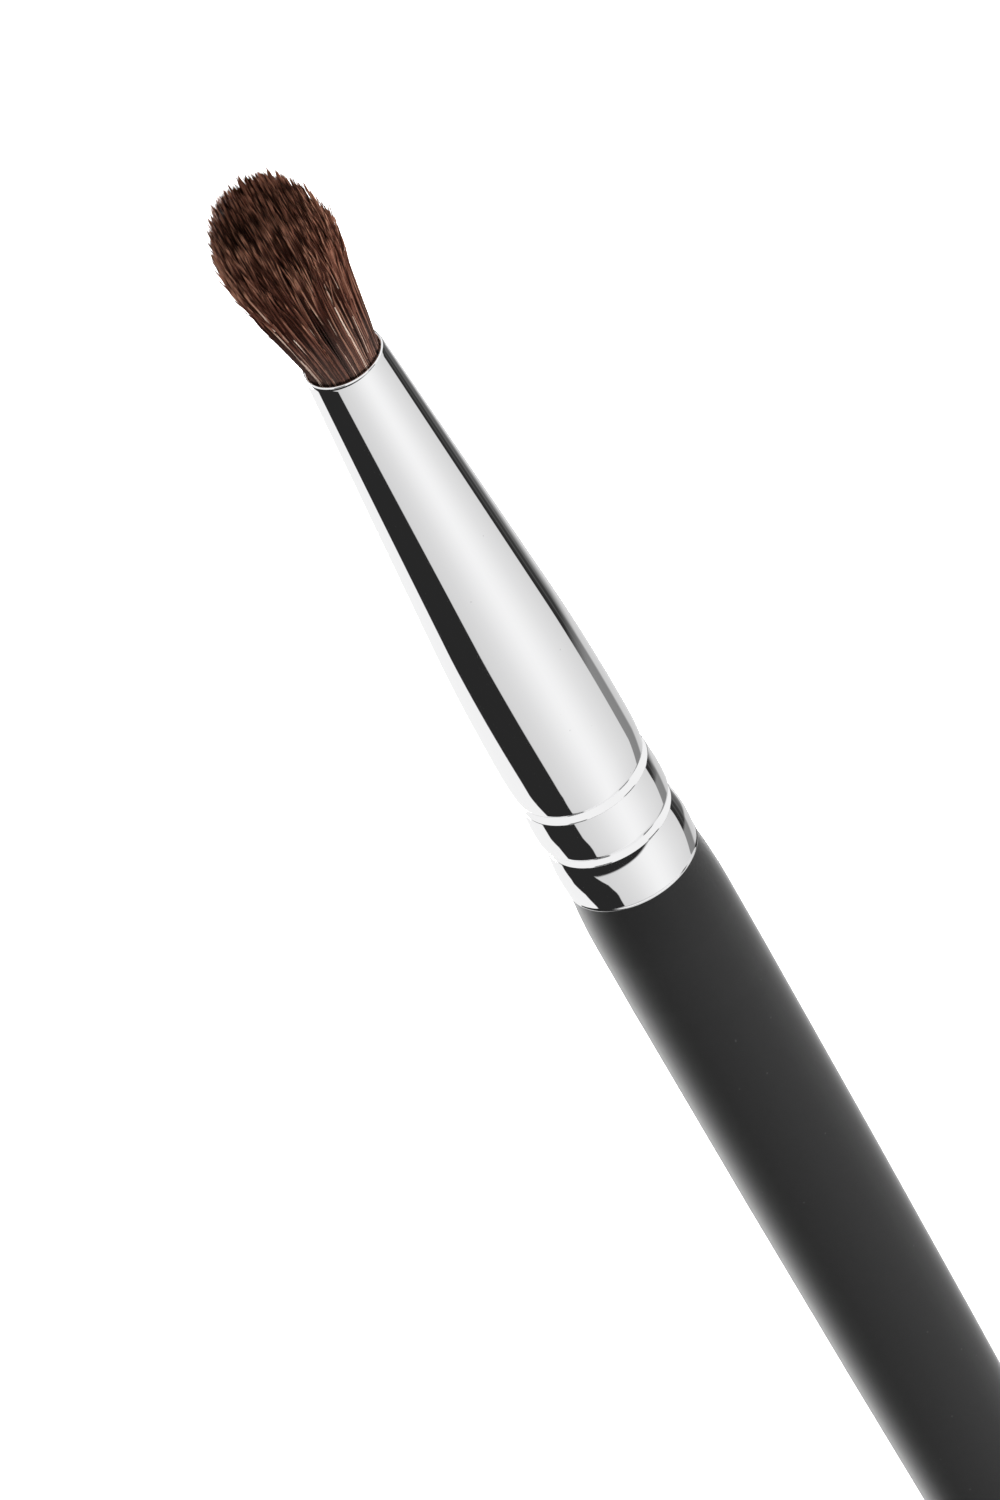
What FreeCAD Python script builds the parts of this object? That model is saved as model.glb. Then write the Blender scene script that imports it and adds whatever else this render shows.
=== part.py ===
import FreeCAD, Part
import math
import os

# Eyeshadow brush, standing along +Z with its hair up, lengths in millimetres.
# The origin is the middle of the cylindrical land at the widest part of the handle.

# Ferrule, a drawn and plated tube
ferrule_length = 44.7
mouth_diameter = 5.45
barrel_diameter = 9.0
ferrule_wall = 0.28
lip_edge = 0.12
cone_share = 0.6264
cone_blend_share = 0.743
base_edge = 0.12

# Crimps that lock the ferrule into the grooves of the tenon
crimp_depth = 0.36
crimp_width = 1.4
crimp_pitch = 4.1
collar_length = 4.0
crimp_blend_share = 0.46

# Handle, turned wood with a tenon that is glued into the ferrule
handle_length = 115.0
shoulder_diameter = 8.9
swell_length = 5.0
grip_diameter = 9.4
grip_length = 4.0
bend_diameter = 9.03
bend_reach_share = 0.5
bend_blend_share = 0.95
tail_diameter = 5.9
tail_round = 2.4
tenon_length = 15.0
tenon_chamfer = 0.8
glue_gap = 0.1

# Hair, its tied root and the resin that sets it
hair_length = 14.0
tuft_diameter = 7.5
flare_length = 8.2
flare_blend = 2.0
hair_clearance = 0.03
root_depth = 13.0
thread_depth = 9.0
thread_width = 1.8
thread_thickness = 0.3
resin_depth = 5.0
resin_plug = 1.5

# Heights and radii that follow
base_z = grip_length / 2 + swell_length
mouth_z = base_z + ferrule_length
tail_z = base_z - handle_length
mouth_r = mouth_diameter / 2
barrel_r = barrel_diameter / 2
grip_r = grip_diameter / 2
tuft_r = tuft_diameter / 2
bundle_r = mouth_r - ferrule_wall - hair_clearance


def unit(a, b):
    size = math.hypot(b[0] - a[0], b[1] - a[1])
    return ((b[0] - a[0]) / size, (b[1] - a[1]) / size)


def moved(point, direction, distance):
    return (point[0] + direction[0] * distance, point[1] + direction[1] * distance)


def vector(point):
    return FreeCAD.Vector(point[0], 0, point[1])


def line(start, end):
    return Part.makeLine(vector(start), vector(end))


def arc(start, middle, end):
    return Part.Arc(vector(start), vector(middle), vector(end)).toShape()


def rounded(corners):
    """Edges past corners (radius, height, blend), with a tangent arc where the blend isn't zero."""
    edges = []
    last = corners[0]
    for before, corner, after in zip(corners, corners[1:], corners[2:]):
        into = unit(before, corner)
        away = unit(corner, after)
        half_turn = math.acos(into[0] * away[0] + into[1] * away[1]) / 2
        rise = corner[2] / math.tan(half_turn) * (1 / math.cos(half_turn) - 1)
        start = moved(corner, into, -corner[2])
        end = moved(corner, away, corner[2])
        if math.dist(last[:2], start) > Part.Precision.confusion():
            edges.append(line(last, start))
        if corner[2] > 0:
            edges.append(arc(start, moved(corner, unit(into, away), rise), end))
        last = end
    edges.append(line(last, corners[-1]))
    return edges


def sharp(points):
    return [(radius, height, 0) for radius, height in points]


def inset(points, depth):
    return [(radius - depth, height) for radius, height in points]


def turned(edges):
    """The solid that a closed outline in radius and height makes when it turns about the Z axis."""
    outline = Part.Wire(Part.__sortEdges__(edges))
    solid = Part.Face(outline).revolve(FreeCAD.Vector(0, 0, 0), FreeCAD.Vector(0, 0, 1), 360)
    return Part.Solid(solid.Shells[0])


def turned_core(points):
    """The solid between the Z axis and an outline with sharp corners."""
    top = (0, points[0][1])
    foot = (0, points[-1][1])
    return turned(rounded(sharp([top, *points, foot])) + [line(foot, top)])


def between(solid, low, high):
    """The stretch of a ferrule's core from one height to another."""
    slab = Part.makeCylinder(barrel_diameter, high - low, FreeCAD.Vector(0, 0, low))
    return solid.common(slab).Solids[0]


# Crimps, each a rolled groove with a round floor and round shoulders
crimp_blend = math.hypot(crimp_width / 2, crimp_depth) * crimp_blend_share
low_crimp_z = base_z + collar_length
high_crimp_z = low_crimp_z + crimp_pitch


def crimp(z):
    return [
        (barrel_r, z + crimp_width / 2, crimp_blend),
        (barrel_r - crimp_depth, z, crimp_blend),
        (barrel_r, z - crimp_width / 2, crimp_blend),
    ]


crimps = crimp(high_crimp_z) + crimp(low_crimp_z)

# Ferrule, from its lip down the cone, the barrel and the crimps to its base, with both ends broken
cone_foot = (barrel_r, mouth_z - ferrule_length * cone_share)
cone_way = unit(cone_foot, (mouth_r, mouth_z))
barrel_top = crimps[0][1] + crimp_blend
cone_blend = (cone_foot[1] - barrel_top) * cone_blend_share
wall_line = [
    (mouth_r, mouth_z),
    moved(cone_foot, cone_way, cone_blend),
    moved(cone_foot, (0, -1), cone_blend),
    *[corner[:2] for corner in crimps],
    (barrel_r, base_z),
]
bore = inset(wall_line, ferrule_wall)
outer_face = rounded(
    [
        bore[0],
        (mouth_r - lip_edge, mouth_z, 0),
        (*moved((mouth_r, mouth_z), cone_way, -lip_edge), 0),
        (*cone_foot, cone_blend),
        *crimps,
        (barrel_r, base_z + base_edge, 0),
        (barrel_r - base_edge, base_z, 0),
        bore[-1],
    ]
)
ferrule = turned(outer_face + rounded(sharp(bore)))

# Tenon, which follows the bore and its crimps with room for glue and has a chamfered tip
bore_core = turned_core(bore)
tenon_top = base_z + tenon_length
tenon_core = turned_core(inset(wall_line, ferrule_wall + glue_gap))
blunt_tenon = between(tenon_core, base_z, tenon_top)
tip_face = max(blunt_tenon.Faces, key=lambda face: face.CenterOfMass.z)
tip_r = tip_face.BoundBox.XLength / 2 - tenon_chamfer
tip_cone = Part.makeCone(tip_r + tenon_length, tip_r, tenon_length, FreeCAD.Vector(0, 0, base_z))
tenon = blunt_tenon.common(tip_cone).Solids[0]
handle_glue = between(bore_core, base_z, tenon_top).cut(tenon).Solids[0]

# Handle, a swell behind the ferrule, the grip land, a long bowed taper and a rounded tail
land_foot = (grip_r, -grip_length / 2)
taper_length = land_foot[1] - tail_z
bend_z = land_foot[1] - taper_length * bend_reach_share
bend_blend = min(land_foot[1] - bend_z, bend_z - tail_z) * bend_blend_share
handle_face = rounded(
    [
        (0, base_z),
        (shoulder_diameter / 2, base_z, 0),
        (grip_r, base_z - swell_length / 2, swell_length / 2),
        (*land_foot, 0),
        (bend_diameter / 2, bend_z, bend_blend),
        (tail_diameter / 2, tail_z, tail_round),
        (0, tail_z),
    ]
)
handle_body = turned(handle_face + [line((0, tail_z), (0, base_z))])
handle = handle_body.fuse(tenon).removeSplitter().Solids[0]

# Hair, a round dome, a flare down to the mouth and a root with a waist where it is tied
tip_z = mouth_z + hair_length
widest_z = tip_z - tuft_r
root_z = mouth_z - root_depth
waist_r = bundle_r - thread_thickness
thread_top = mouth_z - thread_depth
thread_foot = thread_top - thread_width
dome_middle = moved((0, widest_z), unit((0, 0), (1, 1)), tuft_r)
hair_face = rounded(
    [
        (tuft_r, widest_z),
        (tuft_r, mouth_z + flare_length, flare_blend),
        (bundle_r, mouth_z, 0),
        (bundle_r, thread_top + thread_thickness, 0),
        (waist_r, thread_top, 0),
        (waist_r, thread_foot, 0),
        (bundle_r, thread_foot - thread_thickness, 0),
        (bundle_r, root_z, 0),
        (0, root_z),
    ]
)
dome = arc((0, tip_z), dome_middle, (tuft_r, widest_z))
hair_tuft = turned(hair_face + [dome, line((0, root_z), (0, tip_z))])

# Thread, a band of close turns round the waist
thread_r = waist_r + thread_thickness
thread_hole = Part.makeCylinder(waist_r, thread_width, FreeCAD.Vector(0, 0, thread_foot))
root_thread = Part.makeCylinder(thread_r, thread_width, FreeCAD.Vector(0, 0, thread_foot)).cut(thread_hole)

# Resin, which fills the bore around the tied root and below it
resin_block = between(bore_core, root_z - resin_plug, mouth_z - resin_depth)
root_resin = resin_block.cut(hair_tuft).cut(root_thread).Solids[0]

pieces = {
    "handle": handle,
    "handle_glue": handle_glue,
    "ferrule": ferrule,
    "root_resin": root_resin,
    "root_thread": root_thread,
    "hair_tuft": hair_tuft,
}
os.makedirs("parts", exist_ok=True)
for name, shape in pieces.items():
    shape.exportStep(os.path.join("parts", name + ".step"))
    print(name, "valid" if shape.isValid() else "broken", round(shape.Volume, 2))
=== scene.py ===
import math
import random

import bpy
from mathutils import Matrix, Vector


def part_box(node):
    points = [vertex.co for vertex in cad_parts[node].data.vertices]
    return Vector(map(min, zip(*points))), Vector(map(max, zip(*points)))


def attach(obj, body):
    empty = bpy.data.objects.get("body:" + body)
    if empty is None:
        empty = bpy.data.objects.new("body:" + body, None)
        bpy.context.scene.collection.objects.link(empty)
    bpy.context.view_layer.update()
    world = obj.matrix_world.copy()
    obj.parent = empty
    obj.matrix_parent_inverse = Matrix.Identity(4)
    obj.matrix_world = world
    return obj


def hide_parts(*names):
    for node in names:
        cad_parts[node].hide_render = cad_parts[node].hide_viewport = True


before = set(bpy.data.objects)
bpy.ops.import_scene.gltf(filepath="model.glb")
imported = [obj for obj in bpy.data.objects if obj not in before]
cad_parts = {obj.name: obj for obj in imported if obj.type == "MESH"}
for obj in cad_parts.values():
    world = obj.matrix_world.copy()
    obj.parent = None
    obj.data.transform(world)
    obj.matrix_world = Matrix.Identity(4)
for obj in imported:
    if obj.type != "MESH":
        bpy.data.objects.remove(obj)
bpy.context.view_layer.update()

mm = 0.001

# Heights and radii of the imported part
ferrule_low, ferrule_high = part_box("ferrule")
base_z = ferrule_low.z
mouth_z = ferrule_high.z
barrel_r = ferrule_high.x
tail_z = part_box("handle")[0].z
tip_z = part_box("hair_tuft")[1].z

# Photograph, its size in pixels and where the middle of the ferrule's base lies in it
image_size = (1000, 1500)
base_pixel = (632.0, 859.9)
camera_elevation = 37.02
camera_lean = 30.075
camera_distance = 1250 * mm
pixels_per_metre = 16 / mm
sensor_side = 36.0

# Ferrule
ferrule_sides = 224
curve_steps = 10
weld_gap = 0.001 * mm
mouth_r = 2.725 * mm
ferrule_wall = 0.27 * mm
cone_length = 28 * mm
cone_blend = 5.6 * mm
lip_turn = 0.24 * mm
lip_drop = 0.045 * mm
lip_blend = 0.11 * mm

# Crimps, the bowed ring between them and the bowed collar below, as heights above the ferrule's base
groove_blend = 0.02 * mm
edge_blend = 0.05 * mm
barrel_turn = 9.5 * mm
barrel_turn_drop = 0.01 * mm
barrel_turn_blend = 0.95 * mm
barrel_foot = 8.36 * mm
barrel_foot_drop = 0.15 * mm
barrel_foot_blend = 0.18 * mm
high_groove = 8.12 * mm
high_groove_depth = 0.42 * mm
ring_top = 7.75 * mm
ring_top_drop = 0.09 * mm
ring_crown_rise = 5.65 * mm
ring_crown = 0.025 * mm
ring_foot = 4.46 * mm
ring_foot_drop = 0.05 * mm
ring_foot_blend = 0.3 * mm
ring_blend = ring_crown_rise - ring_foot - ring_foot_blend
low_groove = 4.15 * mm
low_groove_depth = 0.52 * mm
collar_top = 3.82 * mm
collar_top_drop = 0.195 * mm
collar_crown_rise = 2.1 * mm
collar_crown = 0.17 * mm
collar_blend = collar_top - collar_crown_rise - edge_blend
collar_foot = 0.25 * mm
collar_foot_drop = 0.02 * mm
bead_rise = 0.08 * mm
bead_spread = 0.025 * mm
bead_blend = 0.05 * mm

# Tuft, its outline from the ferrule's mouth to the dome
root_r = 2.48 * mm
root_sink = 1.5 * mm
pinch = 0.11 * mm
pinch_height = 1.1 * mm
flare = 1.25 * mm
flare_height = 10.25 * mm
flare_power = 1.41
dome_allowance = 1.15 * mm
dome_height = tip_z - mouth_z - flare_height + dome_allowance
dome_power = 3.6
tuft_lean = -0.17 * mm
tuft_lean_height = 7.0 * mm

# Hairs, and the shares of a hair's length at which it has a ring of corners
hair_seed = 11
hair_count = 3100
surface_hair_count = 600
hair_radius = 0.056 * mm
surface_hair_radius = 0.058 * mm
thickness_range = (0.6, 1.25)
hair_sides = 3
ring_shares = (0, 0.16, 0.32, 0.48, 0.62, 0.74, 0.83, 0.89, 0.95, 1.0)
taper = 0.3
taper_span = (0.7, 1.0)
surface_band = (0.94, 1.0)
outer_share = 0.82

# Locks and clumps that the hairs gather in, spread over the tuft as a sunflower's seeds are
golden_angle = math.pi * (3 - math.sqrt(5))
seed_astray = 0.6
lock_count = 60
lock_pull = 0.2
lock_span = (0.1, 0.6)
clump_count = 950
clump_pull = 0.85
clump_span = (0.8, 1.0)
clump_hollow = 2.4 * mm
clump_ragged = 0.44 * mm
dark_clump_drop = 0.45 * mm

# How a hair strays: its ragged tip, its flick at the tuft's edge, its wave and its drift
tip_ragged = 0.28 * mm
edge_share = 0.94
edge_drop = 0.9 * mm
edge_flick = 0.34 * mm
flick_range = (-0.1, 1)
flick_span = (0.7, 1.0)
wave_most = 0.07 * mm
wave_lengths = (5 * mm, 10 * mm)
outward_drift = 0.05 * mm
side_drift = 0.10 * mm
surface_side_drift = 0.35 * mm
streak_count = 150
streak_drift = 0.28 * mm

# Tones of the hairs from dark, 0, to pale, 1, in kinds of (share, low, high); the surface hairs' palest
# kind, 0.88 to 1, is painted glints
streak_kinds = ((0.6, 0.0, 0.1), (0.25, 0.3, 0.5), (0.15, 0.5, 0.72))
streak_tone_astray = 0.06
# The last kind paints highlights: near-white glints on the surface hairs
surface_kinds = ((0.48, 0.0, 0.1), (0.18, 0.3, 0.55), (0.24, 0.62, 0.85), (0.10, 0.88, 1.0))
inner_kinds = ((0.9, 0.0, 0.12), (0.1, 0.2, 0.4))
tip_kinds = ((0.5, 0.0, 0.1), (0.25, 0.36, 0.56), (0.25, 0.7, 0.86))
clump_tone_share = 0.86
# Painted light on the tips: they are lifted paler towards the tuft's rim as a painted backlit glow, and
# all pulled darker so the dome's middle reads as painted shade
painted_dome_shade = 0.16
painted_rim_glow = 0.36
palest_tip = 0.8
surface_fade = 0.66
inner_fade = 0.84
fade_end = 0.95

# Plated brass, with faint smears in its polish
plate_colour = (0.93, 0.93, 0.935, 1)
plate_dust_colour = (0.82, 0.82, 0.83, 1)
plate_dust_rarity = 0.93
plate_roughness = (0.02, 0.05)
smear_scale = 240.0
smear_detail = 3.0
smear_span = (0.3, 0.8)

# Matte black lacquer with a soft sheen and a fine grain
lacquer_colour = (0.006, 0.006, 0.0062, 1)
lacquer_dust_colour = (0.028, 0.028, 0.028, 1)
lacquer_dust_rarity = 0.88
lacquer_roughness = 0.42
lacquer_index = 1.31
sheen_weight = 0.37
sheen_roughness = 0.42
grain_scale = 9000.0
grain_detail = 2.0
grain_strength = 0.08
grain_depth = 0.02 * mm

# Dust on the plating and the lacquer
dust_cells = 1500.0
speck_size = 0.09

# Hair colours, from the darkest tone to the palest; the palest stop, which only the surface hairs' glint
# kind reaches, is a painted highlight
hair_colours = [
    (0.0, (0.022, 0.0065, 0.004, 1)),
    (0.3, (0.075, 0.025, 0.016, 1)),
    (0.6, (0.17, 0.068, 0.045, 1)),
    (0.85, (0.36, 0.19, 0.13, 1)),
    (1.0, (0.75, 0.60, 0.50, 1)),
]
# Painted glow: tips are mixed towards a paler red-brown, most on pale hairs, standing in for light shining
# through the thin tips
painted_tip_glow_colour = (0.52, 0.24, 0.155, 1)
painted_tip_glow_span = (0.88, 1.0)
painted_tip_glow_strength = 0.6
painted_tip_glow_tones = (0.1, 0.6)
painted_tip_glow_on_dark = 0.12
# Painted sheen: the lower hairs are mixed towards a grey, standing in for a soft gloss near the ferrule
painted_foot_sheen_colour = (0.34, 0.26, 0.23, 1)
painted_foot_sheen_span = (0.1, 0.6)
painted_foot_sheen_strength = 0.16
hair_roughness = 0.36
hair_gloss = 0.04
hair_gloss_tint = (1, 0.72, 0.6, 1)

# Hidden finishes, mottled between their colour and a darker one
glue_colour = (0.72, 0.66, 0.5)
glue_roughness = 0.5
resin_colour = (0.55, 0.38, 0.14)
resin_roughness = 0.25
thread_colour = (0.75, 0.7, 0.6)
thread_roughness = 0.8
hidden_cloud_scale = 900.0
hidden_darkening = 0.8
cloud_detail = 4.0
cloud_span = (0.3, 0.7)

# Floor
floor_side = 8
floor_dark = 0.87
floor_light = 0.89
floor_cloud_scale = 30.0
floor_roughness = 0.9
floor_glow = 0.7

# Light, and the soft lamps' side
plain_light = 0.4
lamp_side = 0.16

# Studio cards that the gloss sees, as levels at bearings in degrees, counted to the right from the front
white_wall = 0.945
black_card = 0.022
soft_box = [
    (-75, 0.69), (-48, 0.70), (-32, 0.735), (-16, 0.79), (0, 0.872), (16, 0.945),
    (26, 0.965), (36, 0.945), (49, 0.892), (67, 0.809), (88, 0.745), (104, 0.71),
]
low_side = [
    (104, 0.255), (125, 0.245), (128, 0.29), (132, 0.62),
    (150, 0.68), (168, 0.78), (180, white_wall),
]
high_side = [
    (104, 0.024), (113, 0.03), (116, 0.09), (118, 0.035), (124, 0.05), (128, 0.14),
    (132, 0.10), (142, 0.18), (149, 0.35), (153, 0.9), (180, white_wall),
]
upper_cards = [
    (-180, 0.06), (-158, 0.06), (-155, white_wall), (-58, white_wall), (-55, 0.12),
    (-30, 0.12), (-27, white_wall), (36, white_wall), (39, 0.12), (60, 0.12),
    (63, white_wall), (155, white_wall), (158, 0.06), (180, 0.06),
]

# Left edges of the black card and the soft box, bent over spans of rise (low, high, start, end)
black_card_bends = [(-37, -32, -104, -113), (-30, -25, 0, -8)]
soft_box_bends = [(-37, -30, -48, -52), (-30, -13, 0, -32), (-70, -40, -18, 0)]

# Top edge of the soft box, whose rise changes over a span of bearing (low, high, start, end)
soft_box_top = (-60, 50, -23, -14)
edge_softness = (-0.6, 0.6)

# Where the other cards begin, as spans of bearing or rise from nothing to the full card
side_from_bearing = (104, 105)
side_from_rise = (-62, -55)
high_side_from_rise = (-35, -33.5)
front_from_bearing = (-67, -66)
front_to_bearing = (105, 104)
front_white_from_rise = (-13, -12)
white_from_rise = (-3, 0)
white_under_rise = (-74, -78)
upper_from_rise = (-9, -6)
upper_to_rise = (30, 26)


def rounded(corners):
    """Points past corners (radius, height, blend), with a curve at each corner whose blend isn't zero."""
    points = [Vector(corners[0][:2])]
    for before, corner, after in zip(corners, corners[1:], corners[2:]):
        middle = Vector(corner[:2])
        if corner[2] == 0:
            points.append(middle)
            continue
        start = middle + (Vector(before[:2]) - middle).normalized() * corner[2]
        end = middle + (Vector(after[:2]) - middle).normalized() * corner[2]
        for step in range(curve_steps + 1):
            share = step / curve_steps
            first = start.lerp(middle, share)
            second = middle.lerp(end, share)
            points.append(first.lerp(second, share))
    points.append(Vector(corners[-1][:2]))
    return points


def spun(name, outline, sides):
    """A turned piece: one vertex is extruded along the outline, which is spun about the brush's axis."""
    bpy.ops.object.select_all(action="DESELECT")
    bpy.ops.mesh.primitive_plane_add(size=mm)
    piece = bpy.context.object
    piece.name = name
    piece.data.name = name
    bpy.ops.object.mode_set(mode="EDIT")
    bpy.ops.mesh.select_all(action="SELECT")
    bpy.ops.mesh.merge(type="CENTER")
    bpy.ops.transform.translate(value=(outline[0].x, 0, outline[0].y))
    for before, after in zip(outline, outline[1:]):
        step = after - before
        bpy.ops.mesh.extrude_region_move(TRANSFORM_OT_translate={"value": (step.x, 0, step.y)})
    bpy.ops.mesh.select_all(action="SELECT")
    bpy.ops.mesh.spin(steps=sides, angle=math.tau, center=(0, 0, 0), axis=(0, 0, 1))
    bpy.ops.mesh.select_all(action="SELECT")
    bpy.ops.mesh.remove_doubles(threshold=weld_gap)
    bpy.ops.mesh.normals_make_consistent(inside=False)
    bpy.ops.object.mode_set(mode="OBJECT")
    bpy.ops.object.shade_smooth()
    return piece


def feed(tree, node, inputs):
    """Each input of a shader node, linked to a socket or set to a value."""
    for key, value in inputs.items():
        if isinstance(value, bpy.types.NodeSocket):
            tree.links.new(value, node.inputs[key])
        else:
            node.inputs[key].default_value = value


def put(tree, kind, inputs=None, **settings):
    """A shader node with its settings and its inputs."""
    node = tree.nodes.new("ShaderNode" + kind)
    for key, value in settings.items():
        setattr(node, key, value)
    feed(tree, node, inputs or {})
    return node


def maths(tree, operation, first, second=0.0):
    return put(tree, "Math", {0: first, 1: second}, operation=operation).outputs[0]


def between(tree, value, low, high, start=0.0, end=1.0):
    """A value that goes from start to end as another goes from low to high."""
    limits = {"Value": value, "From Min": low, "From Max": high, "To Min": start, "To Max": end}
    return put(tree, "MapRange", limits).outputs[0]


def laid_over(tree, under, over, *masks):
    """One colour over another, where all its masks are one."""
    cover = masks[0]
    for mask in masks[1:]:
        cover = maths(tree, "MULTIPLY", cover, mask)
    mix = put(tree, "Mix", {"Factor": cover, "A": under, "B": over}, data_type="RGBA")
    return mix.outputs["Result"]


def ramp(tree, factor, stops):
    """A colour ramp through stops (place, colour)."""
    node = put(tree, "ValToRGB", {"Fac": factor})
    elements = node.color_ramp.elements
    elements[0].position, elements[0].color = stops[0]
    elements[-1].position, elements[-1].color = stops[-1]
    for position, colour in stops[1:-1]:
        elements.new(position).color = colour
    return node.outputs["Color"]


def grey(value):
    return (value, value, value, 1)


def new_material(name):
    material = bpy.data.materials.new(name)
    material.use_nodes = True
    material.node_tree.nodes.clear()
    return material


def object_place(tree):
    return put(tree, "TexCoord").outputs["Object"]


def shade(material, inputs):
    """The material's one shader, with its inputs set or linked."""
    tree = material.node_tree
    shader = put(tree, "BsdfPrincipled", inputs)
    put(tree, "OutputMaterial", {"Surface": shader.outputs["BSDF"]})


def new_group(name, inputs, outputs):
    """An empty shader node group with named sockets (name, kind), and its two end nodes."""
    group = bpy.data.node_groups.new(name, "ShaderNodeTree")
    for socket, kind in inputs:
        group.interface.new_socket(socket, in_out="INPUT", socket_type="NodeSocket" + kind)
    for socket, kind in outputs:
        group.interface.new_socket(socket, in_out="OUTPUT", socket_type="NodeSocket" + kind)
    return group, group.nodes.new("NodeGroupInput"), group.nodes.new("NodeGroupOutput")


def use_group(tree, group, inputs):
    node = tree.nodes.new("ShaderNodeGroup")
    node.node_tree = group
    feed(tree, node, inputs)
    return node


def dust_group():
    """Small round specks, one in a few cells of a fine grid, as a mask."""
    group, start, end = new_group(
        "fine_dust",
        [("Place", "Vector"), ("Cells", "Float"), ("Speck Size", "Float"), ("Rarity", "Float")],
        [("Mask", "Float")],
    )
    grid = {"Vector": start.outputs["Place"], "Scale": start.outputs["Cells"]}
    cells = put(group, "TexVoronoi", grid)
    small = maths(group, "LESS_THAN", cells.outputs["Distance"], start.outputs["Speck Size"])
    parts = put(group, "SeparateColor", {"Color": cells.outputs["Color"]})
    rare = maths(group, "GREATER_THAN", parts.outputs["Red"], start.outputs["Rarity"])
    group.links.new(maths(group, "MULTIPLY", small, rare), end.inputs["Mask"])
    return group


def mottle_group():
    """A cloudy colour between a dark and a light one."""
    group, start, end = new_group(
        "mottle",
        [("Place", "Vector"), ("Scale", "Float"), ("Dark", "Color"), ("Light", "Color")],
        [("Color", "Color")],
    )
    noise = {"Vector": start.outputs["Place"], "Scale": start.outputs["Scale"], "Detail": cloud_detail}
    cloud = put(group, "TexNoise", noise)
    share = between(group, cloud.outputs["Fac"], *cloud_span)
    colour = laid_over(group, start.outputs["Dark"], start.outputs["Light"], share)
    group.links.new(colour, end.inputs["Color"])
    return group


def dusted(tree, dust, place, rarity, clean, dusty):
    """A clean colour with specks of dust."""
    values = {"Place": place, "Cells": dust_cells, "Speck Size": speck_size, "Rarity": rarity}
    specks = use_group(tree, dust, values)
    return laid_over(tree, clean, dusty, specks.outputs["Mask"])


def plated_material(dust):
    material = new_material("plated_brass")
    tree = material.node_tree
    place = object_place(tree)
    noise = {"Vector": place, "Scale": smear_scale, "Detail": smear_detail}
    smear = put(tree, "TexNoise", noise).outputs["Fac"]
    rough = between(tree, smear, *smear_span, *plate_roughness)
    colour = dusted(tree, dust, place, plate_dust_rarity, plate_colour, plate_dust_colour)
    shade(material, {"Base Color": colour, "Metallic": 1.0, "Roughness": rough})
    return material


def lacquer_material(dust):
    material = new_material("lacquered_wood")
    tree = material.node_tree
    place = object_place(tree)
    colour = dusted(tree, dust, place, lacquer_dust_rarity, lacquer_colour, lacquer_dust_colour)
    noise = {"Vector": place, "Scale": grain_scale, "Detail": grain_detail}
    grain = put(tree, "TexNoise", noise).outputs["Fac"]
    relief = {"Height": grain, "Strength": grain_strength, "Distance": grain_depth}
    shade(
        material,
        {
            "Base Color": colour,
            "Roughness": lacquer_roughness,
            "IOR": lacquer_index,
            "Sheen Weight": sheen_weight,
            "Sheen Roughness": sheen_roughness,
            "Normal": put(tree, "Bump", relief).outputs["Normal"],
        },
    )
    return material


def hair_finish():
    """Hair whose tone and share of length come from the strands' map, with a painted glow at the tips and
    a painted grey sheen near the ferrule.
    """
    material = new_material("hair")
    tree = material.node_tree
    strand = put(tree, "UVMap", uv_map="strand").outputs["UV"]
    parts = put(tree, "SeparateXYZ", {"Vector": strand})
    tone = parts.outputs["X"]
    along = parts.outputs["Y"]
    colour = ramp(tree, tone, hair_colours)
    # Painted glow of light through the tips, stronger on paler hairs
    tip = between(tree, along, *painted_tip_glow_span, 0.0, painted_tip_glow_strength)
    pale = between(tree, tone, *painted_tip_glow_tones, painted_tip_glow_on_dark, 1.0)
    colour = laid_over(tree, colour, painted_tip_glow_colour, tip, pale)
    # Painted sheen, greying the lower part of each hair
    foot_sheen = between(tree, along, *painted_foot_sheen_span, painted_foot_sheen_strength, 0.0)
    colour = laid_over(tree, colour, painted_foot_sheen_colour, foot_sheen)
    shade(
        material,
        {
            "Base Color": colour,
            "Roughness": hair_roughness,
            "Specular IOR Level": hair_gloss,
            "Specular Tint": hair_gloss_tint,
        },
    )
    return material


def hidden_finish(name, colour, rough, mottle):
    material = new_material(name)
    tree = material.node_tree
    values = {
        "Place": object_place(tree),
        "Scale": hidden_cloud_scale,
        "Dark": tuple(hidden_darkening * part for part in colour) + (1,),
        "Light": colour + (1,),
    }
    cloud = use_group(tree, mottle, values)
    shade(material, {"Base Color": cloud.outputs["Color"], "Roughness": rough})
    return material


def dress(piece, material):
    piece.data.materials.clear()
    piece.data.materials.append(material)


def dress_frame(dust, mottle):
    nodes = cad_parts
    dress(nodes["handle"], lacquer_material(dust))
    dress(nodes["handle_glue"], hidden_finish("glue", glue_colour, glue_roughness, mottle))
    dress(nodes["root_resin"], hidden_finish("resin", resin_colour, resin_roughness, mottle))
    dress(nodes["root_thread"], hidden_finish("thread", thread_colour, thread_roughness, mottle))


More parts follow.
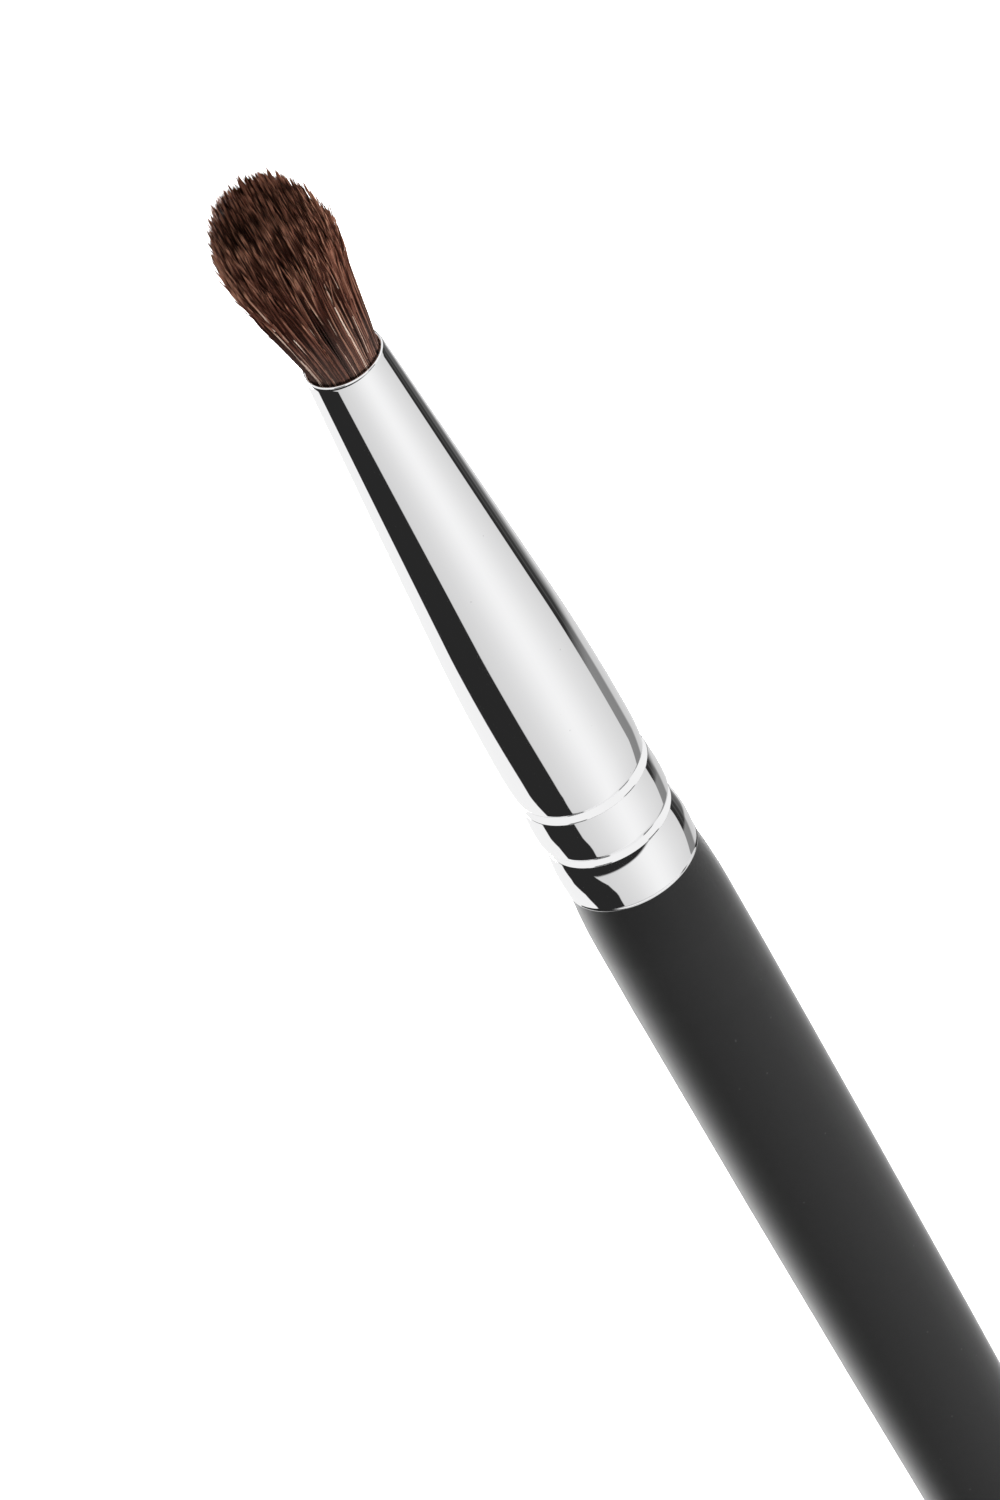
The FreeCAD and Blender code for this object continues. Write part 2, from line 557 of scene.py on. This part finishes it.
def ferrule_outline():
    """Down the outside from the lip to the base, and back up the bore."""
    high_r = barrel_r - high_groove_depth
    low_r = barrel_r - low_groove_depth
    bore_r = barrel_r - ferrule_wall
    lip_r = mouth_r - ferrule_wall / 2
    cone_foot = mouth_z - cone_length
    outside = rounded(
        [
            (lip_r, mouth_z, 0),
            (mouth_r - lip_drop, mouth_z, lip_blend),
            (mouth_r, mouth_z - lip_turn, lip_blend),
            (barrel_r, cone_foot, cone_blend),
            (barrel_r - barrel_turn_drop, base_z + barrel_turn, barrel_turn_blend),
            (barrel_r - barrel_foot_drop, base_z + barrel_foot, barrel_foot_blend),
            (high_r, base_z + high_groove, groove_blend),
            (barrel_r - ring_top_drop, base_z + ring_top, edge_blend),
            (barrel_r + ring_crown, base_z + ring_crown_rise, ring_blend),
            (barrel_r - ring_foot_drop, base_z + ring_foot, ring_foot_blend),
            (low_r, base_z + low_groove, groove_blend),
            (barrel_r - collar_top_drop, base_z + collar_top, edge_blend),
            (barrel_r + collar_crown, base_z + collar_crown_rise, collar_blend),
            (barrel_r - collar_foot_drop, base_z + collar_foot, bead_blend),
            (barrel_r + bead_spread, base_z + bead_rise, bead_blend),
            (barrel_r - bead_spread, base_z, 0),
            (bore_r, base_z, 0),
        ]
    )
    inside = rounded(
        [
            (bore_r, base_z, 0),
            (bore_r, base_z + collar_top, 0),
            (low_r - ferrule_wall, base_z + low_groove, 0),
            (bore_r, base_z + ring_foot, 0),
            (bore_r, base_z + ring_top, 0),
            (high_r - ferrule_wall, base_z + high_groove, 0),
            (bore_r, base_z + barrel_foot, 0),
            (bore_r, cone_foot, cone_blend),
            (mouth_r - ferrule_wall, mouth_z, lip_blend),
            (lip_r, mouth_z, 0),
        ]
    )
    return outside + inside[1:]


def make_ferrule(material):
    piece = spun("ferrule_tube", ferrule_outline(), ferrule_sides)
    dress(piece, material)
    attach(piece, "root")
    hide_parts("ferrule")


def smooth_step(value, low, high):
    """A share from 0 to 1, with a gentle start and end, as a value goes from low to high."""
    share = min(max((value - low) / (high - low), 0), 1)
    return share * share * (3 - 2 * share)


def tuft_radius(height):
    """The tuft's radius at a height above the ferrule's mouth."""
    share = min(max(height / flare_height, 0), 1)
    full = root_r + flare * math.sin(share * math.pi / 2) ** flare_power
    return full - pinch * (1 - smooth_step(height, 0, pinch_height))


def disk_point(draw):
    """A point anywhere on the unit disk."""
    radius = math.sqrt(draw.random())
    angle = draw.uniform(0, math.tau)
    return Vector((radius * math.cos(angle), radius * math.sin(angle)))


def spread_points(draw, count):
    """Points spread evenly over the unit disk, each a little out of place."""
    gap = 1 / math.sqrt(count)
    points = []
    for index in range(count):
        radius = math.sqrt((index + 0.5) / count)
        angle = index * golden_angle
        astray = Vector((draw.uniform(-1, 1), draw.uniform(-1, 1))) * gap * seed_astray
        points.append(Vector((math.cos(angle), math.sin(angle))) * radius + astray)
    return points


def nearest(points, place):
    """The number of the point that is nearest to a place."""
    return min(range(len(points)), key=lambda index: (points[index] - place).length_squared)


def pick(draw, kinds):
    """A number from one of a few ranges, each (share, low, high)."""
    chance = draw.random()
    for share, low, high in kinds:
        if chance < share:
            break
        chance -= share
    return draw.uniform(low, high)


def hair_path(draw, root, lock, clump, shortfall, lean):
    """Points up one hair, which leans to its lock halfway and to its clump at the tip."""
    reach = flare_height + dome_height * math.sqrt(1 - min(root.length, 1) ** dome_power)
    reach -= abs(draw.gauss(0, tip_ragged)) + shortfall + (root - clump).length * clump_hollow
    flick = 0.0
    if root.length > edge_share:
        reach -= draw.expovariate(1 / edge_drop)
        flick = draw.uniform(*flick_range) * edge_flick
    wave = draw.uniform(0, wave_most)
    wave_angle = draw.uniform(0, math.tau)
    wave_phase = draw.uniform(0, math.tau)
    wave_length = draw.uniform(*wave_lengths)
    outward = root.normalized()
    drift = outward * draw.gauss(0, outward_drift) + outward.orthogonal() * lean
    points = []
    for share in ring_shares:
        height = -root_sink + (reach + root_sink) * share
        to_lock = lock_pull * smooth_step(share, *lock_span)
        to_clump = clump_pull * smooth_step(share, *clump_span)
        flat = root.lerp(lock, to_lock).lerp(clump, to_clump) * tuft_radius(height)
        swing = wave * share * math.sin(height / wave_length * math.tau + wave_phase)
        flat += Vector((math.cos(wave_angle), math.sin(wave_angle))) * swing
        flat += drift * share * share + outward * flick * smooth_step(share, *flick_span)
        flat.x += tuft_lean * smooth_step(height, 0, tuft_lean_height)
        points.append(Vector((flat.x, flat.y, mouth_z + height)))
    return points


def tuft_hairs():
    """All hairs of the tuft as outer and inner ones, each (path, radius, tone, tip tone, fade's start)."""
    draw = random.Random(hair_seed)
    locks = spread_points(draw, lock_count)
    clumps = spread_points(draw, clump_count)
    clump_tones = [pick(draw, tip_kinds) for _ in clumps]
    shortfalls = [abs(draw.gauss(0, clump_ragged)) + dark_clump_drop * (1 - tone) for tone in clump_tones]
    streak_tones = [pick(draw, streak_kinds) for _ in range(streak_count)]
    streak_leans = [draw.gauss(0, streak_drift) for _ in range(streak_count)]
    outer = []
    inner = []
    for index in range(hair_count + surface_hair_count):
        on_surface = index >= hair_count
        root = disk_point(draw)
        streak = int((math.atan2(root.y, root.x) / math.tau + 0.5) * streak_count) % streak_count
        tone = pick(draw, inner_kinds)
        lean = draw.gauss(0, side_drift)
        if on_surface:
            root = root.normalized() * draw.uniform(*surface_band)
            tone = pick(draw, surface_kinds)
            lean = draw.gauss(0, surface_side_drift)
        elif root.length > outer_share:
            astray = draw.uniform(-streak_tone_astray, streak_tone_astray)
            tone = min(max(streak_tones[streak] + astray, 0), 1)
            lean += streak_leans[streak]
        clump = nearest(clumps, root)
        lock = nearest(locks, root)
        path = hair_path(draw, root, locks[lock], clumps[clump], shortfalls[clump], lean)
        usual_radius = surface_hair_radius if on_surface else hair_radius
        radius = usual_radius * draw.uniform(*thickness_range)
        tip_tone = clump_tones[clump] if draw.random() < clump_tone_share else pick(draw, tip_kinds)
        # Painted light: a tip is paler the nearer its root is to the rim, a painted backlit glow, and
        # darker by a fixed amount, painted shade in the dome's middle
        backlit_lift = root.length_squared ** 2 * painted_rim_glow
        tip_tone = min(tip_tone + backlit_lift - painted_dome_shade, palest_tip)
        fade_start = surface_fade if on_surface else inner_fade
        group = outer if root.length > outer_share else inner
        group.append((path, radius, tone, tip_tone, fade_start))
    return outer, inner


def strand_points(path, radius):
    """Rings of corners up one hair, and its tip."""
    tip = path[-1]
    outward = Vector((tip.x, tip.y, 0)).normalized()
    points = []
    for ring, share in enumerate(ring_shares[:-1]):
        along = (path[ring + 1] - path[max(ring - 1, 0)]).normalized()
        side = along.cross(outward).normalized()
        front = side.cross(along)
        narrowing = 1 - taper * smooth_step(share, *taper_span)
        for corner in range(hair_sides):
            angle = corner * math.tau / hair_sides
            way = front * math.cos(angle) + side * math.sin(angle)
            points.append(path[ring] + way * radius * narrowing)
    points.append(tip)
    return points


def strand_map(tone, tip_tone, fade_start):
    """Tone and share of length at each point of one hair."""
    points = []
    for share in ring_shares[:-1]:
        ring_tone = tone + (tip_tone - tone) * smooth_step(share, fade_start, fade_end)
        points += [(ring_tone, share)] * hair_sides
    points.append((tip_tone, ring_shares[-1]))
    return points


def strand_faces(first):
    """The closed skin of one hair, whose points start at a given number."""
    last = len(ring_shares) - 1
    faces = [tuple(first + corner for corner in reversed(range(hair_sides)))]
    for ring in range(last - 1):
        for corner in range(hair_sides):
            a = first + ring * hair_sides + corner
            b = first + ring * hair_sides + (corner + 1) % hair_sides
            faces.append((a, b, b + hair_sides, a + hair_sides))
    top = first + (last - 1) * hair_sides
    tip = first + last * hair_sides
    for corner in range(hair_sides):
        faces.append((top + corner, top + (corner + 1) % hair_sides, tip))
    return faces


def hair_piece(name, hairs):
    """Many tapering strands as one piece, with tone and share of length in their map."""
    vertices = []
    faces = []
    map_points = []
    for path, radius, tone, tip_tone, fade_start in hairs:
        faces += strand_faces(len(vertices))
        vertices += strand_points(path, radius)
        map_points += strand_map(tone, tip_tone, fade_start)
    mesh = bpy.data.meshes.new(name)
    mesh.from_pydata(vertices, [], faces)
    layer = mesh.uv_layers.new(name="strand")
    corners = [0] * len(mesh.loops)
    mesh.loops.foreach_get("vertex_index", corners)
    flat = [part for corner in corners for part in map_points[corner]]
    layer.uv.foreach_set("vector", flat)
    mesh.polygons.foreach_set("use_smooth", [True] * len(mesh.polygons))
    mesh.update()
    piece = bpy.data.objects.new(name, mesh)
    bpy.context.scene.collection.objects.link(piece)
    return piece


def make_tuft(material):
    outer, inner = tuft_hairs()
    for name, hairs in {"tuft_outer_hair": outer, "tuft_inner_hair": inner}.items():
        piece = hair_piece(name, hairs)
        dress(piece, material)
        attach(piece, "root")
        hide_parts("hair_tuft")


def photo_camera():
    """A camera at the photograph's angle, far enough away to show almost no perspective."""
    rise = math.radians(camera_elevation)
    lean = math.radians(camera_lean)
    back = Vector((0, -math.cos(rise), math.sin(rise)))
    level = Vector((1, 0, 0))
    upright = Vector((0, math.sin(rise), math.cos(rise)))
    right = level * math.cos(lean) - upright * math.sin(lean)
    up = level * math.sin(lean) + upright * math.cos(lean)
    across = (base_pixel[0] - image_size[0] / 2) / pixels_per_metre
    down = (base_pixel[1] - image_size[1] / 2) / pixels_per_metre
    place = Vector((0, 0, base_z)) + back * camera_distance - right * across + up * down
    turn = Matrix((right, up, back)).transposed()
    bpy.ops.object.camera_add(location=place, rotation=turn.to_euler())
    camera = bpy.context.object
    camera.data.sensor_width = sensor_side
    camera.data.lens = sensor_side * camera_distance * pixels_per_metre / image_size[1]
    bpy.context.scene.camera = camera


def around(tree, turn, levels):
    """Grey levels at bearings, all the way round."""
    stops = [((degrees + 180) / 360, grey(level)) for degrees, level in levels]
    return ramp(tree, turn, stops)


def bent_edge(tree, rise, bends):
    """The bearing of an edge that bends as it rises."""
    edge = between(tree, rise, *bends[0])
    for bend in bends[1:]:
        edge = maths(tree, "ADD", edge, between(tree, rise, *bend))
    return edge


def beyond(tree, value, edge):
    """One where a value is past an edge, with a narrow soft step."""
    return between(tree, maths(tree, "SUBTRACT", value, edge), *edge_softness)


def studio_panels(tree):
    """What the gloss sees: white walls, a black card, a soft box, a grey side and upper cards."""
    way = put(tree, "SeparateXYZ", {"Vector": put(tree, "TexCoord").outputs["Generated"]})
    forward = maths(tree, "MULTIPLY", way.outputs["Y"], -1)
    bearing = maths(tree, "DEGREES", maths(tree, "ARCTAN2", way.outputs["X"], forward))
    turn = between(tree, bearing, -180, 180)
    rise = maths(tree, "DEGREES", maths(tree, "ARCSINE", way.outputs["Z"]))
    white = grey(white_wall)

    on_card = beyond(tree, bearing, bent_edge(tree, rise, black_card_bends))
    panels = laid_over(tree, white, grey(black_card), on_card)

    right_of_edge = beyond(tree, bearing, bent_edge(tree, rise, soft_box_bends))
    under_top = beyond(tree, between(tree, bearing, *soft_box_top), rise)
    panels = laid_over(tree, panels, around(tree, turn, soft_box), right_of_edge, under_top)

    is_high = between(tree, rise, *high_side_from_rise)
    side = laid_over(tree, around(tree, turn, low_side), around(tree, turn, high_side), is_high)
    on_side = between(tree, bearing, *side_from_bearing)
    panels = laid_over(tree, panels, side, on_side, between(tree, rise, *side_from_rise))

    from_left = between(tree, bearing, *front_from_bearing)
    to_right = between(tree, bearing, *front_to_bearing)
    front_high = between(tree, rise, *front_white_from_rise)
    panels = laid_over(tree, panels, white, front_high, from_left, to_right)
    panels = laid_over(tree, panels, white, between(tree, rise, *white_from_rise))

    from_low = between(tree, rise, *upper_from_rise)
    to_high = between(tree, rise, *upper_to_rise)
    panels = laid_over(tree, panels, around(tree, turn, upper_cards), from_low, to_high)
    return laid_over(tree, panels, white, between(tree, rise, *white_under_rise))


def shiny_rays(tree, path):
    return maths(tree, "MAXIMUM", path.outputs["Is Glossy Ray"], path.outputs["Is Transmission Ray"])


def studio_world():
    """White for the camera, the studio's cards for gloss, and plain light for the rest."""
    world = bpy.data.worlds.new("studio")
    bpy.context.scene.world = world
    world.use_nodes = True
    world.cycles.sampling_method = "NONE"
    tree = world.node_tree
    tree.nodes.clear()
    panels = studio_panels(tree)
    path = put(tree, "LightPath")
    lit = laid_over(tree, grey(plain_light), panels, shiny_rays(tree, path))
    seen = laid_over(tree, lit, grey(1.0), path.outputs["Is Camera Ray"])
    light = put(tree, "Background", {"Color": seen, "Strength": 1.0})
    put(tree, "OutputWorld", {"Surface": light.outputs["Background"]})


def soft_lamp(name, place, aim, power, in_gloss=False):
    data = bpy.data.lights.new(name, "AREA")
    data.size = lamp_side
    data.energy = power
    lamp = bpy.data.objects.new(name, data)
    lamp.location = place
    lamp.rotation_euler = (Vector(aim) - Vector(place)).to_track_quat("-Z", "Y").to_euler()
    lamp.visible_glossy = in_gloss
    lamp.visible_camera = False
    bpy.context.scene.collection.objects.link(lamp)


def studio_lamps():
    soft_lamp("front_lamp", place=(0.09, -0.28, -0.08), aim=(0, 0, 0.05), power=1.0)
    soft_lamp("left_lamp", place=(-0.20, 0.26, -0.06), aim=(0, 0, -0.01), power=2.3, in_gloss=True)
    soft_lamp("right_lamp", place=(0.30, -0.06, -0.04), aim=(0, 0, 0), power=0.6)
    soft_lamp("back_lamp", place=(0.05, 0.30, 0.16), aim=(0, 0, 0.06), power=1.9)


def floor_material(mottle):
    """A pale floor that looks white, and still takes the brush's shadow."""
    material = new_material("pale_floor")
    tree = material.node_tree
    values = {
        "Place": object_place(tree),
        "Scale": floor_cloud_scale,
        "Dark": grey(floor_dark),
        "Light": grey(floor_light),
    }
    cloud = use_group(tree, mottle, values)
    path = put(tree, "LightPath")
    seen = maths(tree, "MAXIMUM", path.outputs["Is Camera Ray"], shiny_rays(tree, path))
    shade(
        material,
        {
            "Base Color": cloud.outputs["Color"],
            "Roughness": floor_roughness,
            "Specular IOR Level": 0.0,
            "Emission Color": grey(1.0),
            "Emission Strength": maths(tree, "MULTIPLY", seen, floor_glow),
        },
    )
    return material


def make_floor(mottle):
    bpy.ops.object.select_all(action="DESELECT")
    bpy.ops.mesh.primitive_plane_add(size=floor_side, location=(0, 0, tail_z))
    floor = bpy.context.object
    floor.name = "floor"
    dress(floor, floor_material(mottle))
    floor.visible_glossy = False


dust = dust_group()
mottle = mottle_group()
dress_frame(dust, mottle)
make_ferrule(plated_material(dust))
make_tuft(hair_finish())
photo_camera()
studio_world()
studio_lamps()
make_floor(mottle)
bpy.context.scene.view_settings.view_transform = "Standard"
